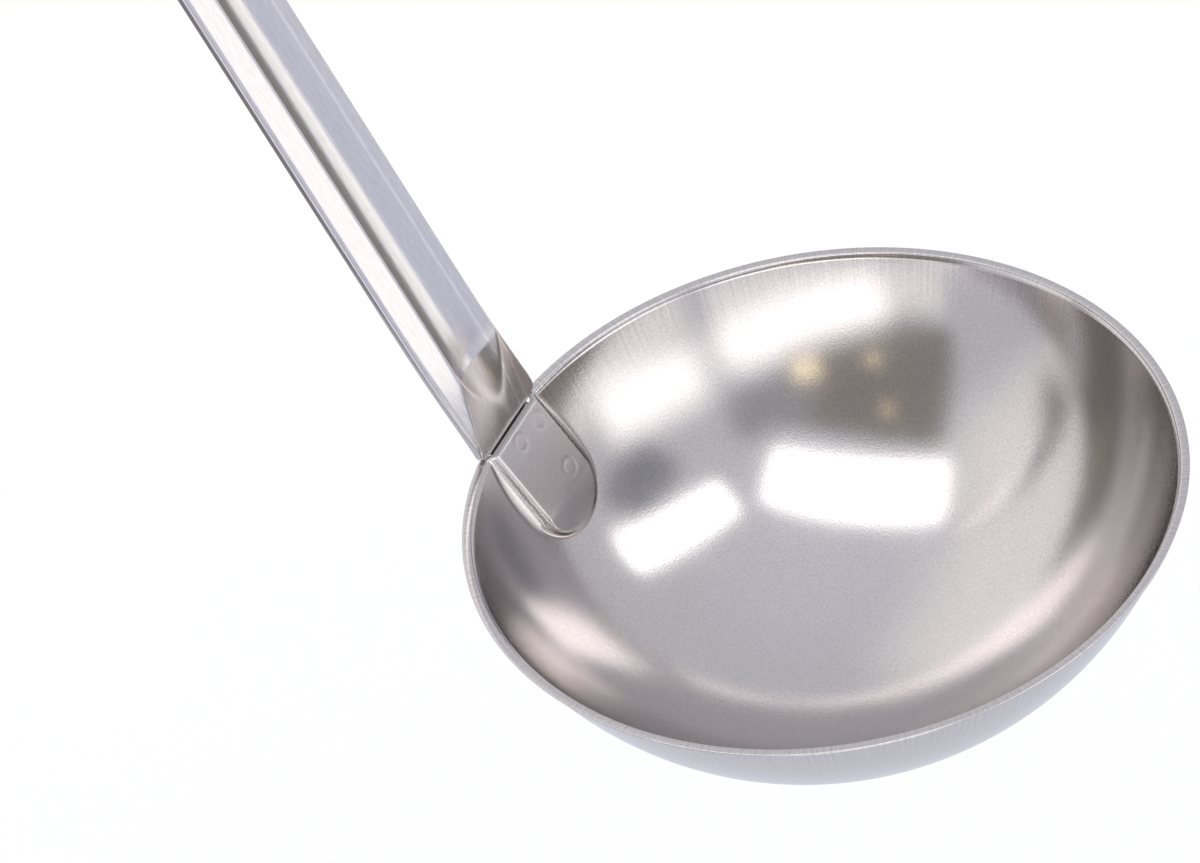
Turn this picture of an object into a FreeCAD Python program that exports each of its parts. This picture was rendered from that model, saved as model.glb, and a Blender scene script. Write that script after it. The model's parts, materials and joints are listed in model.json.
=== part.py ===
import FreeCAD, Part
import math
import os

# Soup ladle of pressed stainless sheet: a round bowl and a channelled handle, joined by three spot welds.
# The rim lies level, the handle leans out over -X, and the origin is the middle of the hanging hole.
# Lengths are in millimetres and angles in degrees.

# Bowl
RIM_DIAMETER = 100.0        # across the outer edge of the rim
BOWL_DEPTH = 33.7           # from the rim down to the outside of the bottom
BOWL_SHEET = 0.8
RIM_FLARE = 0.77            # how far the rim's edge stands outside the ball of the body
FLARE_RADIUS = 4.0          # outer face of the flare

# Platform pressed into the bowl's wall, which makes a recess outside for the handle's tab
PLATFORM_SLOPE = 31.0       # from the bowl's axis
PLATFORM_LENGTH = 12.2      # from the rim down the slope to the lower flank
RECESS_DEPTH = 1.2          # below the ball of the body at the rim, square to the slope
SIDE_FLANK_ANGLE = 38.0     # from the platform
LOWER_FLANK_ANGLE = 10.0
RECESS_CORNER_RADIUS = 0.4  # inside the recess, where its floor turns up into a flank
FLANK_RADIUS = 1.2          # where a flank runs out into the ball of the body

# Handle
HANDLE_LEAN = 21.3          # from the bowl's axis
HANDLE_LENGTH = 262.0       # from the bend over the rim to the far end
HANDLE_WIDTH = 16.0
HANDLE_SHEET = 1.0
BRIM_WIDTH = 0.65           # from the cut edge to the foot of the channel's wall
WALL_RUN = 1.85             # across the handle, from a wall's foot to its ridge
CHANNEL_RISE = 2.8          # from the brims to the ridges
DISH_SIDE_RUN = 2.3         # across the handle, from a ridge to the floor of the dish
DISH_DEPTH = 0.95           # of the dish between the ridges
DISH_END_HEIGHT = 5.0       # from the bend up to the closed end of the dish
DISH_END_RUN = 2.6          # along the handle, from that end to the floor of the dish
FOOT_RADIUS = 0.6
RIDGE_RADIUS = 0.45
RIDGE_BACK_RADIUS = 0.2
DISH_RADIUS = 6.0

# Neck and tab, the handle's lower end
BEND_HEIGHT = 0.4           # of the bend above the rim
BEND_STEP = 0.8             # of the bend in front of the brims
BEND_RADIUS = 1.5
NECK_LENGTH = 4.2           # from the bend up to the ends of the ridges
SHOULDER_HEIGHT = 1.2       # from the bend up to the ends of the brims
SHOULDER_RADIUS = 0.8
SHOULDER_WIDTH = 2.5        # from the handle's edge in to the tab's edge
TAB_CORNER_RADIUS = 2.5
TAB_SIDE_CLEARANCE = 0.2    # to the foot of each side flank of the recess
TAB_END_CLEARANCE = 0.4     # to the foot of the recess's lower flank

# Far end of the handle
END_FLAT_LENGTH = 20.0
END_RUN_OUT = 14.0          # over which the ridges come down to the flat
END_CORNER_RADIUS = 6.5
END_BEND_RADIUS = 3.0
HOLE_DIAMETER = 7.0
HOLE_INSET = 9.0            # from the far end to the hole's middle

# Spot welds between the tab and the platform
UPPER_WELD_DROP = 2.4       # down the platform from the rim
UPPER_WELD_MARGIN = 1.8     # from the tab's right edge to the nearer upper weld
UPPER_WELD_SPACING = 4.9
LOWER_WELD_MARGIN = 2.65    # from the tab's right edge
LOWER_WELD_END_MARGIN = 1.6 # from the tab's end
NUGGET_DIAMETER = 3.0
NUGGET_DEPTH = 0.45         # into each sheet

# How far a cutting solid runs past what it cuts, and how closely two directions match, in radians
OVERRUN = 3.0
ANGLE_MATCH = 0.001

vec = FreeCAD.Vector

# Sizes that follow from the driving dimensions
RIM_RADIUS = RIM_DIAMETER / 2
BALL_RIM_RADIUS = RIM_RADIUS - RIM_FLARE
BALL_RADIUS = (BALL_RIM_RADIUS ** 2 + BOWL_DEPTH ** 2) / (2 * BOWL_DEPTH)
BALL_CENTRE = BALL_RADIUS - BOWL_DEPTH
SLOPE = math.radians(PLATFORM_SLOPE)
PLATFORM_X = RECESS_DEPTH / math.cos(SLOPE) - BALL_RIM_RADIUS
HALF_FOOT = HANDLE_WIDTH / 2 - BRIM_WIDTH
HALF_RIDGE = HALF_FOOT - WALL_RUN
HALF_DISH = HALF_RIDGE - DISH_SIDE_RUN
HALF_TAB = HANDLE_WIDTH / 2 - SHOULDER_WIDTH
TAB_TURN = math.radians(PLATFORM_SLOPE - HANDLE_LEAN)
TAB_DROP = PLATFORM_LENGTH - TAB_END_CLEARANCE      # from the rim down the platform to the tab's end
TAB_LENGTH = (TAB_DROP + BEND_HEIGHT / math.cos(SLOPE)) * math.cos(TAB_TURN)    # from the bend down
UPPER_WELD = HALF_TAB - UPPER_WELD_MARGIN

# Name of each spot weld, its distance right of the middle, and down the platform from the rim
WELD_PLACES = (
    ("upper_left", UPPER_WELD - UPPER_WELD_SPACING, UPPER_WELD_DROP),
    ("upper_right", UPPER_WELD, UPPER_WELD_DROP),
    ("lower", HALF_TAB - LOWER_WELD_MARGIN, TAB_DROP - LOWER_WELD_END_MARGIN),
)


def rounded_path(points, radii):
    """Edges along an open path of straight runs, with a tangent arc at each inner corner of some radius."""
    edges = []
    start = points[0]
    for before, corner, after, radius in zip(points, points[1:], points[2:], radii):
        if radius == 0:
            edges.append(Part.LineSegment(start, corner).toShape())
            start = corner
            continue
        back = (before - corner).normalize()
        ahead = (after - corner).normalize()
        half_angle = back.getAngle(ahead) / 2
        reach = radius / math.tan(half_angle)
        middle_reach = radius / math.sin(half_angle) - radius
        first = corner + back * reach
        last = corner + ahead * reach
        middle = corner + (back + ahead).normalize() * middle_reach
        edges.append(Part.LineSegment(start, first).toShape())
        edges.append(Part.Arc(first, middle, last).toShape())
        start = last
    edges.append(Part.LineSegment(start, points[-1]).toShape())
    return edges


def beside(points, normal, distance):
    """The path moved sideways by a distance, to the side that normal x direction points to."""
    runs = [(b - a).normalize() for a, b in zip(points, points[1:])]
    sides = [normal.cross(run) for run in runs]
    moved = [points[0] + sides[0] * distance]
    for corner, one, other in zip(points[1:-1], sides, sides[1:]):
        moved.append(corner + (one + other) * (distance / (1 + one.dot(other))))
    moved.append(points[-1] + sides[-1] * distance)
    return moved


def face_under(points, radii, closing):
    """The face between a rounded path and straight runs through the closing points back to its start."""
    edges = rounded_path(points, radii)
    loop = [points[-1], *closing, points[0]]
    edges += [Part.LineSegment(a, b).toShape() for a, b in zip(loop, loop[1:])]
    return Part.Face(Part.Wire(edges))


def lean(shape, angle, origin):
    """Tilt a shape that stands on +Z so that it leans out over -X, and set its zero on the origin."""
    shape.rotate(vec(0, 0, 0), vec(0, 1, 0), -angle)
    shape.translate(origin)
    return shape


def on_platform(right, down):
    """A point of the platform's outer face, right of its middle and down its slope from the rim."""
    return vec(PLATFORM_X + down * math.sin(SLOPE), right, -down * math.cos(SLOPE))


def dish(sheet):
    """The solid inside the bowl's outer face, or inside its inner face when given the sheet's thickness."""
    centre = vec(0, 0, BALL_CENTRE)
    to_edge = vec(RIM_RADIUS, 0, 0) - centre
    span = BALL_RADIUS + FLARE_RADIUS
    edge_distance = to_edge.Length
    swing = math.acos((edge_distance ** 2 + span ** 2 - FLARE_RADIUS ** 2) / (2 * edge_distance * span))
    dip = math.atan2(BALL_CENTRE, RIM_RADIUS) + swing
    tangent = vec(math.cos(dip), 0, -math.sin(dip))
    flare_centre = centre + tangent * span
    radius = BALL_RADIUS - sheet
    flare = FLARE_RADIUS + sheet
    half_dip = (dip + math.pi / 2) / 2
    bottom = centre - vec(0, 0, radius)
    ball_middle = centre + vec(math.cos(half_dip), 0, -math.sin(half_dip)) * radius
    ball_end = centre + tangent * radius
    rim = vec(flare_centre.x - math.sqrt(flare ** 2 - flare_centre.z ** 2), 0, 0)
    flare_middle = flare_centre + ((ball_end + rim) * 0.5 - flare_centre).normalize() * flare
    edges = [
        Part.Arc(bottom, ball_middle, ball_end).toShape(),
        Part.Arc(ball_end, flare_middle, rim).toShape(),
        Part.LineSegment(rim, vec(0, 0, 0)).toShape(),
        Part.LineSegment(vec(0, 0, 0), bottom).toShape(),
    ]
    return Part.Face(Part.Wire(edges)).revolve(vec(0, 0, 0), vec(0, 0, 1), 360)


def pocket(sheet):
    """The press tool's shape outside the platform's outer face, or outside its inner face for the sheet."""
    half_floor = HALF_TAB + TAB_SIDE_CLEARANCE
    height = 2 * RECESS_DEPTH + OVERRUN
    spread = height / math.tan(math.radians(SIDE_FLANK_ANGLE))
    drop = height / math.tan(math.radians(LOWER_FLANK_ANGLE))
    across = [
        vec(-height, -half_floor - spread),
        vec(0, -half_floor),
        vec(0, half_floor),
        vec(-height, half_floor + spread),
    ]
    down = [
        vec(0, 0, OVERRUN),
        vec(0, 0, -PLATFORM_LENGTH),
        vec(-height, 0, -PLATFORM_LENGTH - drop),
    ]
    across = beside(across, vec(0, 0, -1), sheet)
    down = beside(down, vec(0, 1, 0), -sheet)
    corner = RECESS_CORNER_RADIUS + sheet
    top = down[0].z
    length = top - down[-1].z
    half_width = across[-1].y
    section = face_under(across, (corner, corner), ())
    side = face_under(down, (corner,), (vec(down[-1].x, 0, top),))
    section.translate(vec(0, 0, top - length))
    side.translate(vec(0, -half_width, 0))
    tool = section.extrude(vec(0, 0, length)).common(side.extrude(vec(0, 2 * half_width, 0)))
    return lean(tool, PLATFORM_SLOPE, on_platform(0, 0))


def flank_edges(bowl):
    """The edges where the platform's flanks, the only steep planes beside it, leave the round wall."""
    platform_normal = vec(math.cos(SLOPE), 0, math.sin(SLOPE))
    rim_normal = vec(0, 0, 1)
    planes = [face for face in bowl.Faces if isinstance(face.Surface, Part.Plane)]
    flanks = [face for face in planes
              if not face.Surface.Axis.isParallel(platform_normal, ANGLE_MATCH)
              and not face.Surface.Axis.isParallel(rim_normal, ANGLE_MATCH)]
    walls = [face for face in bowl.Faces if isinstance(face.Surface, (Part.Sphere, Part.Toroid))]
    wall_edges = [edge for face in walls for edge in face.Edges]
    return [edge for face in flanks for edge in face.Edges if any(edge.isSame(other) for other in wall_edges)]


def make_bowl():
    """The round dish, with the platform pressed inwards through its wall."""
    outside = dish(0).cut(pocket(0))
    inside = dish(BOWL_SHEET).cut(pocket(BOWL_SHEET))
    bowl = outside.cut(inside).Solids[0]
    return bowl.makeFillet(FLANK_RADIUS, flank_edges(bowl))


def section_faces(right, front_radii, back_radii):
    """The faces under a section's front and under its back, from the right half of its front."""
    edge = right[-1].y
    front = [vec(point.x, -point.y) for point in reversed(right)] + right
    back = beside(front, vec(0, 0, 1), HANDLE_SHEET)
    underside = -HANDLE_SHEET
    depth = underside - OVERRUN
    solid = face_under(front, front_radii[::-1] + front_radii, (vec(underside, edge), vec(underside, -edge)))
    hollow = face_under(back, back_radii[::-1] + back_radii, (vec(depth, edge), vec(depth, -edge)))
    return solid, hollow


def channel_bodies():
    """What lies under the channel's front and under its back: the dished strip, filled at the dish's end."""
    foot = [vec(CHANNEL_RISE, HALF_RIDGE), vec(0, HALF_FOOT), vec(0, HANDLE_WIDTH / 2 + OVERRUN)]
    front_radii = (RIDGE_RADIUS, FOOT_RADIUS)
    back_radii = (RIDGE_BACK_RADIUS, FOOT_RADIUS + HANDLE_SHEET)
    dished = section_faces([vec(CHANNEL_RISE - DISH_DEPTH, HALF_DISH), *foot],
                           (DISH_RADIUS, *front_radii), (DISH_RADIUS + HANDLE_SHEET, *back_radii))
    plain = section_faces(foot, front_radii, back_radii)
    end_slope = DISH_DEPTH / DISH_END_RUN
    end_wall = [
        vec(CHANNEL_RISE + OVERRUN * end_slope, 0, DISH_END_HEIGHT - OVERRUN),
        vec(0, 0, DISH_END_HEIGHT + CHANNEL_RISE / end_slope),
    ]
    length = vec(0, 0, HANDLE_LENGTH + OVERRUN)
    bodies = []
    for dished_face, plain_face, sheet in zip(dished, plain, (0, HANDLE_SHEET)):
        wall = beside(end_wall, vec(0, 1, 0), -sheet)
        below = face_under(wall, (), (vec(wall[-1].x, 0, -OVERRUN), vec(wall[0].x, 0, -OVERRUN)))
        below.translate(vec(0, -HANDLE_WIDTH, 0))
        filling = plain_face.extrude(length).common(below.extrude(vec(0, 2 * HANDLE_WIDTH, 0)))
        bodies.append(dished_face.extrude(length).fuse(filling))
    return bodies


def handle_side():
    """The line of the tab, neck and far end seen from the side, as the faces under its front and its back."""
    over = CHANNEL_RISE + OVERRUN
    tab_reach = TAB_LENGTH + OVERRUN
    neck_rise = CHANNEL_RISE - BEND_STEP
    end_foot = HANDLE_LENGTH - END_FLAT_LENGTH
    front = [
        vec(BEND_STEP + tab_reach * math.sin(TAB_TURN), 0, -tab_reach * math.cos(TAB_TURN)),
        vec(BEND_STEP, 0, 0),
        vec(over, 0, NECK_LENGTH * (over - BEND_STEP) / neck_rise),
        vec(over, 0, end_foot - END_RUN_OUT * over / CHANNEL_RISE),
        vec(0, 0, end_foot),
        vec(0, 0, HANDLE_LENGTH + OVERRUN),
    ]
    back = beside(front, vec(0, 1, 0), -HANDLE_SHEET)
    depth = -HANDLE_SHEET - 2 * OVERRUN
    faces = []
    for path, sheet in ((front, 0), (back, HANDLE_SHEET)):
        radii = (BEND_RADIUS + sheet, 0, 0, END_BEND_RADIUS + sheet)
        closing = (vec(depth, 0, path[-1].z), vec(depth, 0, path[0].z))
        faces.append(face_under(path, radii, closing))
    return faces


def handle_outline():
    """The handle's outline from the front: tab, shoulders, straight edges and the rounded far end."""
    half_width = HANDLE_WIDTH / 2
    right = [
        vec(0, HALF_TAB, -TAB_LENGTH),
        vec(0, HALF_TAB, SHOULDER_HEIGHT),
        vec(0, half_width, SHOULDER_HEIGHT),
        vec(0, half_width, HANDLE_LENGTH),
    ]
    left = [vec(0, -point.y, point.z) for point in reversed(right)]
    radii = (TAB_CORNER_RADIUS, SHOULDER_RADIUS, SHOULDER_RADIUS, END_CORNER_RADIUS)
    start = vec(0, 0, -TAB_LENGTH)
    return Part.Face(Part.Wire(rounded_path([start, *right, *left, start], radii + radii[::-1])))


def handle_origin():
    """The place of the handle's own zero: level with the bend over the rim, on the front of the brims."""
    angle = math.radians(HANDLE_LEAN)
    bend = on_platform(0, -BEND_HEIGHT / math.cos(SLOPE))
    return bend - vec(math.cos(angle), 0, math.sin(angle)) * BEND_STEP


def hole_middle():
    """The middle of the hanging hole, halfway through the sheet."""
    middle = Part.Vertex(-HANDLE_SHEET / 2, 0, HANDLE_LENGTH - HOLE_INSET)
    return lean(middle, HANDLE_LEAN, handle_origin()).Point


def make_handle():
    """The pressed strip: the channel above the bend, its plain tab below, and its holed far end."""
    solid, hollow = channel_bodies()
    front, back = handle_side()
    tab_reach = TAB_LENGTH + OVERRUN
    reach = HANDLE_WIDTH / 2 + 2 * OVERRUN
    deep = HANDLE_SHEET + 3 * OVERRUN
    for face in (front, back):
        face.translate(vec(0, -reach, 0))
    outline = handle_outline()
    outline.translate(vec(-deep, 0, 0))
    tab_block = Part.makeBox(2 * deep, 2 * reach, tab_reach, vec(-deep, -reach, -tab_reach))
    metal = solid.fuse(tab_block).common(front.extrude(vec(0, 2 * reach, 0)))
    empty = hollow.fuse(tab_block).common(back.extrude(vec(0, 2 * reach, 0)))
    strip = metal.cut(empty).common(outline.extrude(vec(2 * deep, 0, 0)))
    hole_start = vec(-deep, 0, HANDLE_LENGTH - HOLE_INSET)
    hole = Part.makeCylinder(HOLE_DIAMETER / 2, 2 * deep, hole_start, vec(1, 0, 0))
    return lean(strip.cut(hole).removeSplitter(), HANDLE_LEAN, handle_origin())


def make_nugget(right, down):
    """One weld's lens of fused metal, half in the platform and half in the tab: two balls' overlap."""
    radius = ((NUGGET_DIAMETER / 2) ** 2 + NUGGET_DEPTH ** 2) / (2 * NUGGET_DEPTH)
    square = vec(math.cos(SLOPE), 0, math.sin(SLOPE)) * (radius - NUGGET_DEPTH)
    middle = on_platform(right, down)
    return Part.makeSphere(radius, middle + square).common(Part.makeSphere(radius, middle - square))


def main():
    """Build every piece, seat the welds in both sheets and write one file a piece."""
    os.makedirs("parts", exist_ok=True)
    nuggets = {"weld_nugget_" + name: make_nugget(right, down) for name, right, down in WELD_PLACES}
    melted = list(nuggets.values())
    pieces = {"bowl": make_bowl().cut(melted), "handle": make_handle().cut(melted), **nuggets}
    for name, shape in pieces.items():
        solid = shape.Solids[0]
        solid.translate(-hole_middle())
        print(name, len(shape.Solids), solid.isValid(), round(solid.Volume, 2))
        solid.exportStep("parts/" + name + ".step")


main()
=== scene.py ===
# %% [markdown]
# A soup ladle, seen as in its photograph
#
# The real ladle is two pressings of stainless sheet: a round bowl, and a long strip pressed into a channel
# for a handle. The strip's flat tab is spot-welded into a shallow recess in the bowl's wall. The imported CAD
# model gives the true sizes, so it is loaded first, and everything below is drawn round it.

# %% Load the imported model
import json
import math

import bmesh
import bpy
import numpy as np
from mathutils import Matrix, Vector


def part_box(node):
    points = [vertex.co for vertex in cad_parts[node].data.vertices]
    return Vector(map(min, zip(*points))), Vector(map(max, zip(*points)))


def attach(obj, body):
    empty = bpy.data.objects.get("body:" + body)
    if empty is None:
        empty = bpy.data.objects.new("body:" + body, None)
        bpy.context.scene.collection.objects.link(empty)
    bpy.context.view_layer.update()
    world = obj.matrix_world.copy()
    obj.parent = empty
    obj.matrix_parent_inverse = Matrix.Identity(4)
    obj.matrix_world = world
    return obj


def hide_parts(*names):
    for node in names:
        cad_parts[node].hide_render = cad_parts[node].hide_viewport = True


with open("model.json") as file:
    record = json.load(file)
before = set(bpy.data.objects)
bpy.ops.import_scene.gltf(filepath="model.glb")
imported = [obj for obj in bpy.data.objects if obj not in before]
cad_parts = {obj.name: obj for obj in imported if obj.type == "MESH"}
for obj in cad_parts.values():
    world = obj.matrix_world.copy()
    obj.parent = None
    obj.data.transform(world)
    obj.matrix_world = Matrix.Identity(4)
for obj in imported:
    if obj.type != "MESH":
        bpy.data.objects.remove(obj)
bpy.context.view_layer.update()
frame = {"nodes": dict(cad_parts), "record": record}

# %% [markdown]
# Sizes are written in millimetres and measured from the middle of the rim, where a maker would measure
# them. The rim's place, its radius and the bowl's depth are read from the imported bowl, so the new surfaces
# sit exactly where the CAD solid is. One helper turns millimetres at the rim into metres in the frame.

# %% The rim as the place to measure from
MM = 0.001
bowl_low, bowl_high = (np.array(corner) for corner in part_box("bowl"))
RIM_RADIUS = (bowl_high[1] - bowl_low[1]) / 2 / MM
BOWL_DEPTH = (bowl_high[2] - bowl_low[2]) / MM
RIM_CENTRE = np.array((bowl_high[0] - RIM_RADIUS * MM, (bowl_high[1] + bowl_low[1]) / 2, bowl_high[2]))


def placed(points):
    """Points in millimetres from the rim's middle, as metres in the frame: scaled, then shifted."""
    return points * MM + RIM_CENTRE


print("rim radius %.2f mm, bowl depth %.2f mm" % (RIM_RADIUS, BOWL_DEPTH))

# %% [markdown]
# Pressed sheet has no sharp corners: where two faces meet, the press leaves a small round. A rounded
# maximum does that for whole height fields at once. It returns the larger of two heights, and near their
# crossing it adds a little parabola, so the corner becomes a curve of about the radius asked for. Forms that
# come and go along the ladle, such as a groove or a lift, follow a bell curve.

# %% Rounds for pressed corners
def rounded_max(one, other, reach):
    """The larger height; where the two differ by less than reach, plus (reach - difference)^2 / (4 reach)."""
    near = np.clip(reach - np.abs(one - other), 0, None)
    return np.maximum(one, other) + near ** 2 / (4 * reach)


def rounded_min(one, other, reach):
    """The smaller of two heights, rounded in the same way."""
    return -rounded_max(-one, -other, reach)


def corner_reach(radius, turn):
    """The reach that gives about this radius where two slopes differ by turn: radius * turn^2 / 2."""
    return radius * turn ** 2 / 2


def bell(value, middle, span, power=2):
    """One at the middle, fading on both sides: e to the power of -((value - middle) / span)^power."""
    return np.exp(-((value - middle) / span) ** power)


print("slopes that differ by one, at a radius of 1 mm: reach %.2f mm" % corner_reach(1, 1))

# %% [markdown]
# A grid of even squares spends its faces on plain stretches and is too coarse for small rounds. So a grid's
# lines are spread unevenly, and a crowding function says how close they lie at each place. A closed sheet is
# such a grid, wrapped over the front, the cut edge and the back. Its seams and poles hold doubled points,
# which bmesh merges before it turns the faces outward. Edges sharper than the crease angle stay crisp.

# %% Grids and closed sheets
GRID_STEPS = 4000
MERGE_DISTANCE = 0.000001
CREASE_ANGLE = math.radians(40)


def spread(start, end, count, crowding):
    """Values from start to end, closer where crowding is larger: its running sum, read backwards."""
    fine = np.linspace(start, end, GRID_STEPS + 1)
    filled = np.concatenate(([0], np.cumsum(crowding((fine[1:] + fine[:-1]) / 2))))
    return np.interp(np.linspace(0, filled[-1], count), filled, fine)


def fading(value, limit, blend):
    """One below a limit, nought above it, by a logistic curve: 1 / (1 + e^((value - limit) / blend))."""
    return 1 / (1 + np.exp((value - limit) / blend))


def grid_faces(index):
    """The four-cornered faces of a table of vertex numbers, between neighbouring rows and columns."""
    corners = (index[:-1, :-1], index[:-1, 1:], index[1:, 1:], index[1:, :-1])
    return np.stack(corners, axis=-1).reshape(-1, 4)


def sheet_piece(name, points, faces, marks=()):
    """A closed mesh from points, faces and named marks: doubles merged, faces turned outward, smooth."""
    mesh = bpy.data.meshes.new(name)
    mesh.from_pydata(placed(points), [], faces.tolist())
    for mark, values in dict(marks).items():
        mesh.attributes.new(mark, "FLOAT", "POINT").data.foreach_set("value", values.ravel())
    work = bmesh.new()
    work.from_mesh(mesh)
    bmesh.ops.remove_doubles(work, verts=work.verts, dist=MERGE_DISTANCE)
    bmesh.ops.dissolve_degenerate(work, edges=work.edges, dist=MERGE_DISTANCE)
    bmesh.ops.recalc_face_normals(work, faces=work.faces)
    open_edges = sum(not edge.is_manifold for edge in work.edges)
    work.to_mesh(mesh)
    work.free()
    mesh.shade_smooth()
    mesh.set_sharp_from_angle(angle=CREASE_ANGLE)
    piece = bpy.data.objects.new(name, mesh)
    bpy.context.scene.collection.objects.link(piece)
    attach(piece, "root")
    triangles = sum(len(polygon.vertices) - 2 for polygon in mesh.polygons)
    print(name, "triangles", triangles, "open edges", open_edges)
    return piece


print("faces of a grid of 3 by 4 points:", len(grid_faces(np.arange(12).reshape(3, 4))))

# %% [markdown]
# The bowl is a cap of a ball with a narrow lip, bent outwards round the rim. It could be spun from a curve,
# but a press mark has to be worked into it, so it is made as a grid: one direction runs up the inner face,
# over the cut edge and down the outer face, the other runs round the bowl. The profile is an arc and a short
# straight lip, with a small round where they meet.

# %% The bowl's profile
BOWL_SHEET = 0.8
RIM_FLARE = 0.77
LIP_HEIGHT = 1.0
LIP_FOOT_RADIUS = 0.6
LIP_ROWS_DROP = 2 * LIP_HEIGHT
LIP_LIMIT_DROP = 3 * LIP_HEIGHT
RIM_EDGE_RADIUS = 0.2

ball_rim_radius = RIM_RADIUS - RIM_FLARE
BALL_RADIUS = (ball_rim_radius ** 2 + BOWL_DEPTH ** 2) / (2 * BOWL_DEPTH)
BALL_CENTRE = BALL_RADIUS - BOWL_DEPTH
LIP_DIP = math.asin((BALL_CENTRE + LIP_ROWS_DROP) / BALL_RADIUS)


def ball_radius(height, depth):
    """How far out a face of the ball is at a height: its circle, smaller by the depth into the sheet."""
    return np.sqrt(np.clip((BALL_RADIUS - depth) ** 2 - (height - BALL_CENTRE) ** 2, 0, None))


lip_foot = ball_radius(-LIP_HEIGHT, 0)
lip_slope = (RIM_RADIUS - lip_foot) / LIP_HEIGHT
lip_turn = lip_slope - (BALL_CENTRE + LIP_HEIGHT) / lip_foot


def wall_radius(height, depth):
    """How far out a face of the wall is: the ball's circle, or near the rim the lip's cone if larger."""
    ball = ball_radius(height, depth)
    lip = RIM_RADIUS + height * lip_slope - depth * math.hypot(1, lip_slope)
    near_rim = rounded_max(ball, lip, corner_reach(LIP_FOOT_RADIUS, lip_turn))
    return np.where(height < -LIP_LIMIT_DROP, ball, near_rim)


print("ball radius %.2f mm, lip leans out %.1f degrees" % (BALL_RADIUS, math.degrees(math.atan(lip_slope))))

# %% [markdown]
# The sheet's two faces follow this profile at two depths, and the cut edge between them has a small round on
# each side. Even rows would be simpler, but the pressed platform needs fine ones and the plain bottom does
# not, so the rows lie closer from the rim down past the platform.

# %% The bowl's rows
PRESS_ZONE = math.radians(22)
PRESS_ZONE_BLEND = 0.03
PRESS_ROW_CROWDING = 5
BALL_ROWS = 150
LIP_ROWS = 20
EDGE_ROWS = 5


def face_rows(depth):
    """Radius and height of one face's rows, from the middle of the bottom up to the round of the edge."""
    def crowding(dip):
        """One at the bottom, more within the press zone."""
        return 1 + PRESS_ROW_CROWDING * fading(dip, LIP_DIP + PRESS_ZONE, PRESS_ZONE_BLEND)

    dips = spread(math.pi / 2, LIP_DIP, BALL_ROWS, crowding)
    ball_heights = BALL_CENTRE - (BALL_RADIUS - depth) * np.sin(dips)
    lip_heights = np.linspace(ball_heights[-1], -RIM_EDGE_RADIUS, LIP_ROWS)[1:]
    heights = np.concatenate((ball_heights, lip_heights))
    return wall_radius(heights, depth), heights


def bowl_profile():
    """Radius, height and depth into the sheet along inner face, rounded cut edge and outer face."""
    inner_radius, inner_height = face_rows(BOWL_SHEET)
    outer_radius, outer_height = face_rows(0)
    turn = np.linspace(0, math.pi / 2, EDGE_ROWS)[1:]
    lift = RIM_EDGE_RADIUS * (np.sin(turn) - 1)
    shift = RIM_EDGE_RADIUS * (1 - np.cos(turn))
    radius = np.concatenate((inner_radius, inner_radius[-1] + shift, (outer_radius[-1] - shift)[::-1],
                             outer_radius[::-1]))
    height = np.concatenate((inner_height, lift, lift[::-1], outer_height[::-1]))
    depth = np.concatenate((np.full_like(inner_radius, BOWL_SHEET), BOWL_SHEET - shift, shift[::-1],
                            np.zeros_like(outer_radius)))
    return radius, height, depth


print("rows over both faces and the edge:", len(bowl_profile()[0]))

# %% [markdown]
# The platform is a flat pressed inwards through the wall, so that the handle's tab lies in a recess outside
# and the weld marks show inside. It could be cut and filled, but a press only pushes: at each place across
# and down, the wall goes to the tool's face wherever the tool stands further in. The tool's face is a sloping
# floor. Past its sides it falls off by steep flanks that ease out into a skirt, and past its rounded lower
# end it falls more gently. Pushing along X keeps the rim level.

# %% Press the platform
PLATFORM_SLOPE = math.radians(31)
PLATFORM_LENGTH = 12.2
PLATFORM_HALF_WIDTH = 5.7
RECESS_DEPTH = 1.2
SIDE_FLANK = math.tan(math.radians(44))
FLANK_DEPTH = 0.95
SKIRT = math.tan(math.radians(16))
END_CURVE = 1.1
LOWER_SLOPE = math.radians(21)
PLATFORM_EDGE_RADIUS = 0.7
PLATFORM_END_RADIUS = 9.0
FLANK_FOOT_RADIUS = 0.7
PLATFORM_X = RECESS_DEPTH / math.cos(PLATFORM_SLOPE) - ball_rim_radius
slope_sin, slope_cos = math.sin(PLATFORM_SLOPE), math.cos(PLATFORM_SLOPE)


def press_platform(x, y, z, depth):
    """Where the press leaves x: the rounded larger of the wall and a floor that falls past its edges."""
    floor = (depth - z * slope_sin) / slope_cos
    past_end = -z - PLATFORM_LENGTH * slope_cos
    across = np.hypot(y, END_CURVE * np.clip(past_end / slope_cos, 0, None))
    past_side = across - PLATFORM_HALF_WIDTH - depth * (math.hypot(1, SIDE_FLANK) - 1) / SIDE_FLANK
    flank = past_side * SIDE_FLANK
    skirt = FLANK_DEPTH + (past_side - FLANK_DEPTH / SIDE_FLANK) * SKIRT
    side = rounded_min(flank, skirt, corner_reach(FLANK_FOOT_RADIUS, SIDE_FLANK - SKIRT)) / slope_cos
    side = rounded_max(0, side, corner_reach(PLATFORM_EDGE_RADIUS, SIDE_FLANK))
    end_fall = math.tan(PLATFORM_SLOPE) - math.tan(LOWER_SLOPE)
    lower = past_end * end_fall + depth * (1 / slope_cos - 1 / math.cos(LOWER_SLOPE))
    lower = rounded_max(0, lower, corner_reach(PLATFORM_END_RADIUS, end_fall))
    tool = PLATFORM_X + floor - np.hypot(side, lower)
    return rounded_max(x, tool, corner_reach(FLANK_FOOT_RADIUS, SIDE_FLANK))


print("platform %.1f by %.1f mm" % (2 * PLATFORM_HALF_WIDTH, PLATFORM_LENGTH))

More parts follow.
